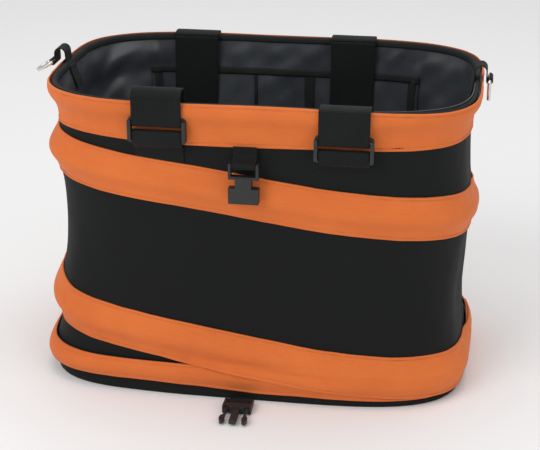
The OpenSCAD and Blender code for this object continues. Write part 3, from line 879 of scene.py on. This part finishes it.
def hug(obj, side, start_z, keys):
    """Presses a sewn strap on to the cloth below start_z, or under the spiral sleeve in front."""
    points = np.array([v.co for v in obj.data.vertices])
    x, z = points[:, 0], points[:, 2]
    line = np.array(sorted((key_z, d) for _, d, key_z in keys if key_z < start_z + 1 * MM))
    centre = np.interp(z, line[:, 0], line[:, 1])
    u = angle_at(x, side)
    sleeve_top = spiral_z(turn_of(u)) + SPIRAL_H / 2 if side < 0 else 0 * x
    lift = mix(1.0 * MM, -1.6 * MM, smooth((sleeve_top + 1.5 * MM - z) / (4 * MM)))
    cloth = np.abs(outline(u, skin(u, z) + bulge(u, z) + lift)[1]) - HALF_D
    cloth = np.where(z > RIM_SLEEVE_LOW - 2 * MM, cloth + 1.3 * MM, cloth)
    points[:, 1] += side * smooth((start_z - z) / (8 * MM)) * (cloth - centre)
    obj.data.vertices.foreach_set("co", points.astype(np.float32).ravel())
    obj.data.update()


def make_tail(prefix, name, side, x, z, foot, nodes):
    """Webbing from the fold down to the slide lock, and in through the lock's upper slit."""
    slit = z + 4 * MM
    keys = [(x, d, slit + rise * MM) for d, rise in zip(SLIT_D, (0.9, 0.3, 1.6))]
    keys += [(x, STRAP_D, slit + 5 * MM), (x, STRAP_D, (slit + foot) / 2 + 2 * MM), (x, STRAP_D, foot)]
    strap(f"{prefix}_{name}_tail", keys, side, "rim", nodes)


def make_anchor(prefix, name, side, x, z):
    """Webbing from the lock's lower slit down the wall, to which it is sewn."""
    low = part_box(f"{prefix}_{name}_anchor")[0].z
    keys = [(x, d, z - drop * MM) for d, drop in zip(SLIT_D, (0.9, 0.3, 1.6))]
    keys += [(x, STRAP_D, z - 5 * MM), (x, STRAP_D - 1.2 * MM, z - 12 * MM)]
    if (prefix, name) == ("front", "left"):
        keys += [(x, 1.2 * MM, 272 * MM), (x, -0.6 * MM, low)]
    else:
        keys += [(x, 1.9 * MM, low + 3 * MM), (x, 1.4 * MM, low)]
    sewn = strap(f"{prefix}_{name}_anchor_strap", keys, side, "rim", [f"{prefix}_{name}_anchor"])
    hug(sewn, side, z - 13.5 * MM, keys)


def make_fold(prefix, name, side, x, foot, rise, nodes):
    """Webbing over the rim, from the tail outside to the loop inside."""
    angles = np.linspace(0, math.pi, 25)
    middle = STRAP_D - FOLD_R
    keys = [(x, middle + FOLD_R * math.cos(a), foot + rise * math.sin(a) ** 0.6) for a in angles]
    fold = ribbon(f"{prefix}_{name}_fold", on_side(keys, side), (1, 0, 0), HANDLE_WIDTH, WEB)
    fold.data.materials.append(WEBBING)
    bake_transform(fold)
    if nodes:
        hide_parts(*nodes)


def handle_path(x0, x1, feet):
    """Middle line (x, z) of a handle loop: down, round a corner, across the grip, and up again."""
    corner = HANDLE_CORNER
    low = PIVOT_Z - HANDLE_DROP
    steps = [PIVOT_Z - (HANDLE_DROP - corner) * k / 8 for k in range(1, 9)]
    bend = [(corner - corner * math.cos(a), low + corner - corner * math.sin(a))
            for a in np.linspace(0, math.pi / 2, 12)[1:]]
    keys = [(x0, feet[0])] + [(x0, z) for z in steps] + [(x0 + x, z) for x, z in bend]
    keys += [(x0 + corner + (x1 - x0 - 2 * corner) * k / 8, low) for k in range(1, 8)]
    keys += [(x1 - x, z) for x, z in reversed(bend)] + [(x1, z) for z in reversed(steps)] + [(x1, feet[1])]
    keys = np.array(keys)
    depth = PIVOT_Z - keys[:, 1]
    keys[:, 0] += HANDLE_LEAN * smooth(depth / 0.12) * depth / HANDLE_DROP
    return keys


def make_loop(prefix, side, xs, feet):
    """A handle loop that hangs inside the bag. It is folded narrower at the grip."""
    flat = handle_path(*xs, feet)
    inside = np.full(len(flat), side * (HALF_D + LOOP_D))
    path = curve_points(np.stack([flat[:, 0], inside, flat[:, 1]], 1), 150)
    ahead = np.gradient(path, axis=0)
    across = np.stack([-ahead[:, 2], 0 * ahead[:, 0], ahead[:, 0]], 1)
    share = np.linspace(0, 1, len(path))
    taper = 1 - 0.42 * smooth((share - 0.33) / 0.1) * smooth((0.67 - share) / 0.1)
    loop = ribbon(f"{prefix}_handle_loop", path, across, HANDLE_WIDTH, WEB, taper)
    piece(loop, f"{prefix}_handle", WEBBING, [f"{prefix}_handle"], LOOP_FOLD)


def make_handles():
    """Both handles. The front left foot of the loop stands higher on the rim than the other three."""
    low_foot, low_rise = PIVOT_Z - 5 * MM, 3 * MM
    for prefix, side in SIDES:
        feet = [PIVOT_Z, low_foot] if prefix == "front" else [low_foot, low_foot]
        rises = [9 * MM, low_rise] if prefix == "front" else [low_rise, low_rise]
        xs = []
        for name, foot, rise in zip(("left", "right"), feet, rises):
            low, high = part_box(f"{prefix}_{name}_lock")
            x, z = (low.x + high.x) / 2, (low.z + high.z) / 2
            xs.append(x)
            first = name == "left"
            make_tail(prefix, name, side, x, z, foot, [f"{prefix}_handle_tails"] if first else [])
            make_anchor(prefix, name, side, x, z)
            make_fold(prefix, name, side, x, foot, rise, [f"{prefix}_handle_bends"] if first else [])
        make_loop(prefix, side, xs, feet)


make_handles()

# ---- D-rings and their tabs, in millimetres: x out from the middle, z up ----
BAR_X, BAR_Z = 231.5, 321.0
TAB_INNER, TAB_OUTER, TAB_LOOP_R = 216.8, 228.5, 3.0
RING_HALF, RING_CORNER = 13.5, ((-13.5, -4), (-13.5, -1.5), (-13, -0.4), (-11.8, 0), (-6, 0))
RING_TILT = {"left": math.radians(60), "right": 0}


def make_tab(name, side):
    """Webbing tab that lies on the lining, arches over the rim and loops round the ring's bar."""
    end_angle = np.array(math.pi if side < 0 else 0.0)
    keys = []
    for z in range(292, 318, 5):
        keys.append(((HALF_L + float(lining_offset(end_angle, np.array(z * MM)))) / MM - 1.0, z))
    keys += [(TAB_INNER - 1.5, 319), (TAB_INNER - 0.5, 325), (TAB_INNER, 330)]
    middle, arch_r = (TAB_INNER + TAB_OUTER) / 2, (TAB_OUTER - TAB_INNER) / 2
    arch = np.linspace(0, math.pi, 9)[1:]
    keys += [(middle - arch_r * math.cos(a), 330 + 1.1 * arch_r * math.sin(a)) for a in arch]
    keys += [(TAB_OUTER, 326)]
    loop = np.linspace(0, 1.55 * math.pi, 14)
    keys += [(BAR_X - TAB_LOOP_R * math.cos(a), BAR_Z - TAB_LOOP_R * math.sin(a)) for a in loop]
    path = curve_points([(side * x * MM, 0, z * MM) for x, z in keys], 140)
    tab = ribbon(f"{name}_ring_webbing", path, (0, 1, 0), 21 * MM, 1.3 * MM)
    piece(tab, "rim", TAPE, [f"{name}_ring_tab"])


def make_ring(name, side):
    """D-ring: a half circle and a straight bar with rounded corners, tilted about the bar."""
    ring = [(RING_HALF * math.cos(a), -8 - RING_HALF * math.sin(a)) for a in np.linspace(0, math.pi, 25)]
    ring += [*RING_CORNER, (0, 0), *((-y, z) for y, z in reversed(RING_CORNER))]
    tilt = RING_TILT[name]
    points = []
    for y, z in ring:
        points.append((side * (BAR_X - z * math.sin(tilt)) * MM, y * MM, (BAR_Z + z * math.cos(tilt)) * MM))
    closed = curve_points(points + [points[0]], 161)[:-1]
    ring_tube = tube(f"{name}_nickel_ring", closed, 2 * MM, 14, closed=True)
    piece(ring_tube, f"{name}_d_ring", NICKEL, [f"{name}_d_ring"])


for ring_name, ring_side in (("left", -1), ("right", 1)):
    make_tab(ring_name, ring_side)
    make_ring(ring_name, ring_side)

# ---- buckle straps ----
BUCKLE_WIDTH, BUCKLE_WEB, BAR_R = 24 * MM, 1.1 * MM, 2.8 * MM


def bar_turn(x, bar_d, bar_z, way):
    """Half a turn round a buckle's bar: from its top (way 1) or its bottom (way -1)."""
    angles = np.linspace(0, math.pi, 8)
    return [(x, bar_d + BAR_R * math.sin(a), bar_z + way * BAR_R * math.cos(a)) for a in angles]


def make_upper_strap(prefix, side):
    """Strap that hangs from the rim sleeve and holds the female buckle."""
    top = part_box(f"{prefix}_upper_strap")[1].z
    bar_d, bar_z = 12.2 * MM, 264 * MM
    keys = [(0, 2.2 * MM, top + 3 * MM), (0, 2.4 * MM, top - 2 * MM), (0, 3.4 * MM, top - 6 * MM)]
    keys += [(0, 8 * MM, bar_z + 4 * MM)] + bar_turn(0, bar_d, bar_z, 1)
    keys += [(0, 8.6 * MM, bar_z - 0.6 * MM), (0, 4.2 * MM, bar_z + 3 * MM), (0, 2.0 * MM, bar_z + 7 * MM)]
    nodes = [f"{prefix}_upper_strap"]
    strap(f"{prefix}_upper_buckle_strap", keys, side, "rim", nodes, 90, BUCKLE_WIDTH, BUCKLE_WEB)


def make_lower_strap(prefix, side):
    """Strap that comes out from under the bag and holds the male buckle on the ground."""
    x = side * 6 * MM
    bar_d, bar_z = 15 * MM, 4.3 * MM
    keys = [(x, 0.5 * MM, 1.5 * MM), (x, 8 * MM, 1.5 * MM)] + bar_turn(x, bar_d, bar_z, -1)
    keys += [(x, 11.4 * MM, 5.4 * MM), (x, 7 * MM, 3.2 * MM), (x, 2.5 * MM, 3.4 * MM)]
    nodes = [f"{prefix}_lower_strap"]
    strap(f"{prefix}_lower_buckle_strap", keys, side, "base", nodes, 90, BUCKLE_WIDTH, BUCKLE_WEB)


for strap_prefix, strap_side in SIDES:
    make_upper_strap(strap_prefix, strap_side)
    make_lower_strap(strap_prefix, strap_side)


# ---- moulded hardware: the frame's own shapes with rounded edges ----
def moulded(node, body, width):
    """A copy of a CAD node with its flat faces made whole and its edges rounded."""
    source = frame["nodes"][node]
    bpy.context.view_layer.update()
    bm = bmesh.new()
    bm.from_mesh(source.data)
    bm.transform(source.matrix_world)
    bmesh.ops.remove_doubles(bm, verts=bm.verts, dist=0.01 * MM)
    bmesh.ops.dissolve_limit(bm, angle_limit=math.radians(1.5), verts=bm.verts, edges=bm.edges)
    bmesh.ops.recalc_face_normals(bm, faces=bm.faces)
    mesh = bpy.data.meshes.new(node + "_moulded")
    bm.to_mesh(mesh)
    bm.free()
    obj = add_object(node + "_moulded", mesh)
    soften(obj, width)
    piece(obj, body, PLASTIC, [node])


def make_hardware():
    for prefix, _ in SIDES:
        for name in ("left", "right"):
            moulded(f"{prefix}_{name}_lock", "rim", 0.7 * MM)
            moulded(f"{prefix}_{name}_prong", f"{prefix}_{name}_prong", 0.6 * MM)
        moulded(f"{prefix}_female_buckle", f"{prefix}_female_buckle", 0.8 * MM)
        moulded(f"{prefix}_male_buckle", f"{prefix}_male_buckle", 0.7 * MM)


make_hardware()

# ---- CAD nodes that stay as they are ----
for node_name, material in (("base_panel", BLACK), ("base_board", BOARD), ("floor_lining", LINING)):
    frame["nodes"][node_name].data.materials.clear()
    frame["nodes"][node_name].data.materials.append(material)

# ---- studio ----
SKY_LIGHT = 0.62
# Name, place, size in metres and power in watts of each area light
LAMPS = (
    ("key", (-1.3, -1.9, 2.1), 1.6, 30),
    ("fill", (1.9, -1.3, 1.2), 2.0, 9),
    ("top", (0.1, 0.3, 2.4), 1.8, 13))
LIT_POINT = Vector((0, 0, 0.15))


def make_floor():
    bpy.ops.mesh.primitive_plane_add(size=12, location=(0, 0, -0.5 * MM))
    floor = bpy.context.object
    floor.name = "floor"
    pale = Nodes("pale_floor", Base_Color=colour(0.92, 0.92, 0.92), Roughness=0.9)
    floor.data.materials.append(pale.material)


def make_lights():
    world = bpy.data.worlds.new("studio")
    bpy.context.scene.world = world
    world.use_nodes = True
    background = world.node_tree.nodes["Background"]
    background.inputs["Color"].default_value = (1, 1, 1, 1)
    background.inputs["Strength"].default_value = SKY_LIGHT
    for name, place, size, power in LAMPS:
        data = bpy.data.lights.new(name, "AREA")
        data.size = size
        data.energy = power
        lamp = bpy.data.objects.new(name, data)
        bpy.context.scene.collection.objects.link(lamp)
        lamp.location = place
        lamp.rotation_euler = (Vector(place) - LIT_POINT).to_track_quat("Z", "Y").to_euler()
    bpy.context.scene.view_settings.view_transform = "Standard"


make_floor()
make_lights()
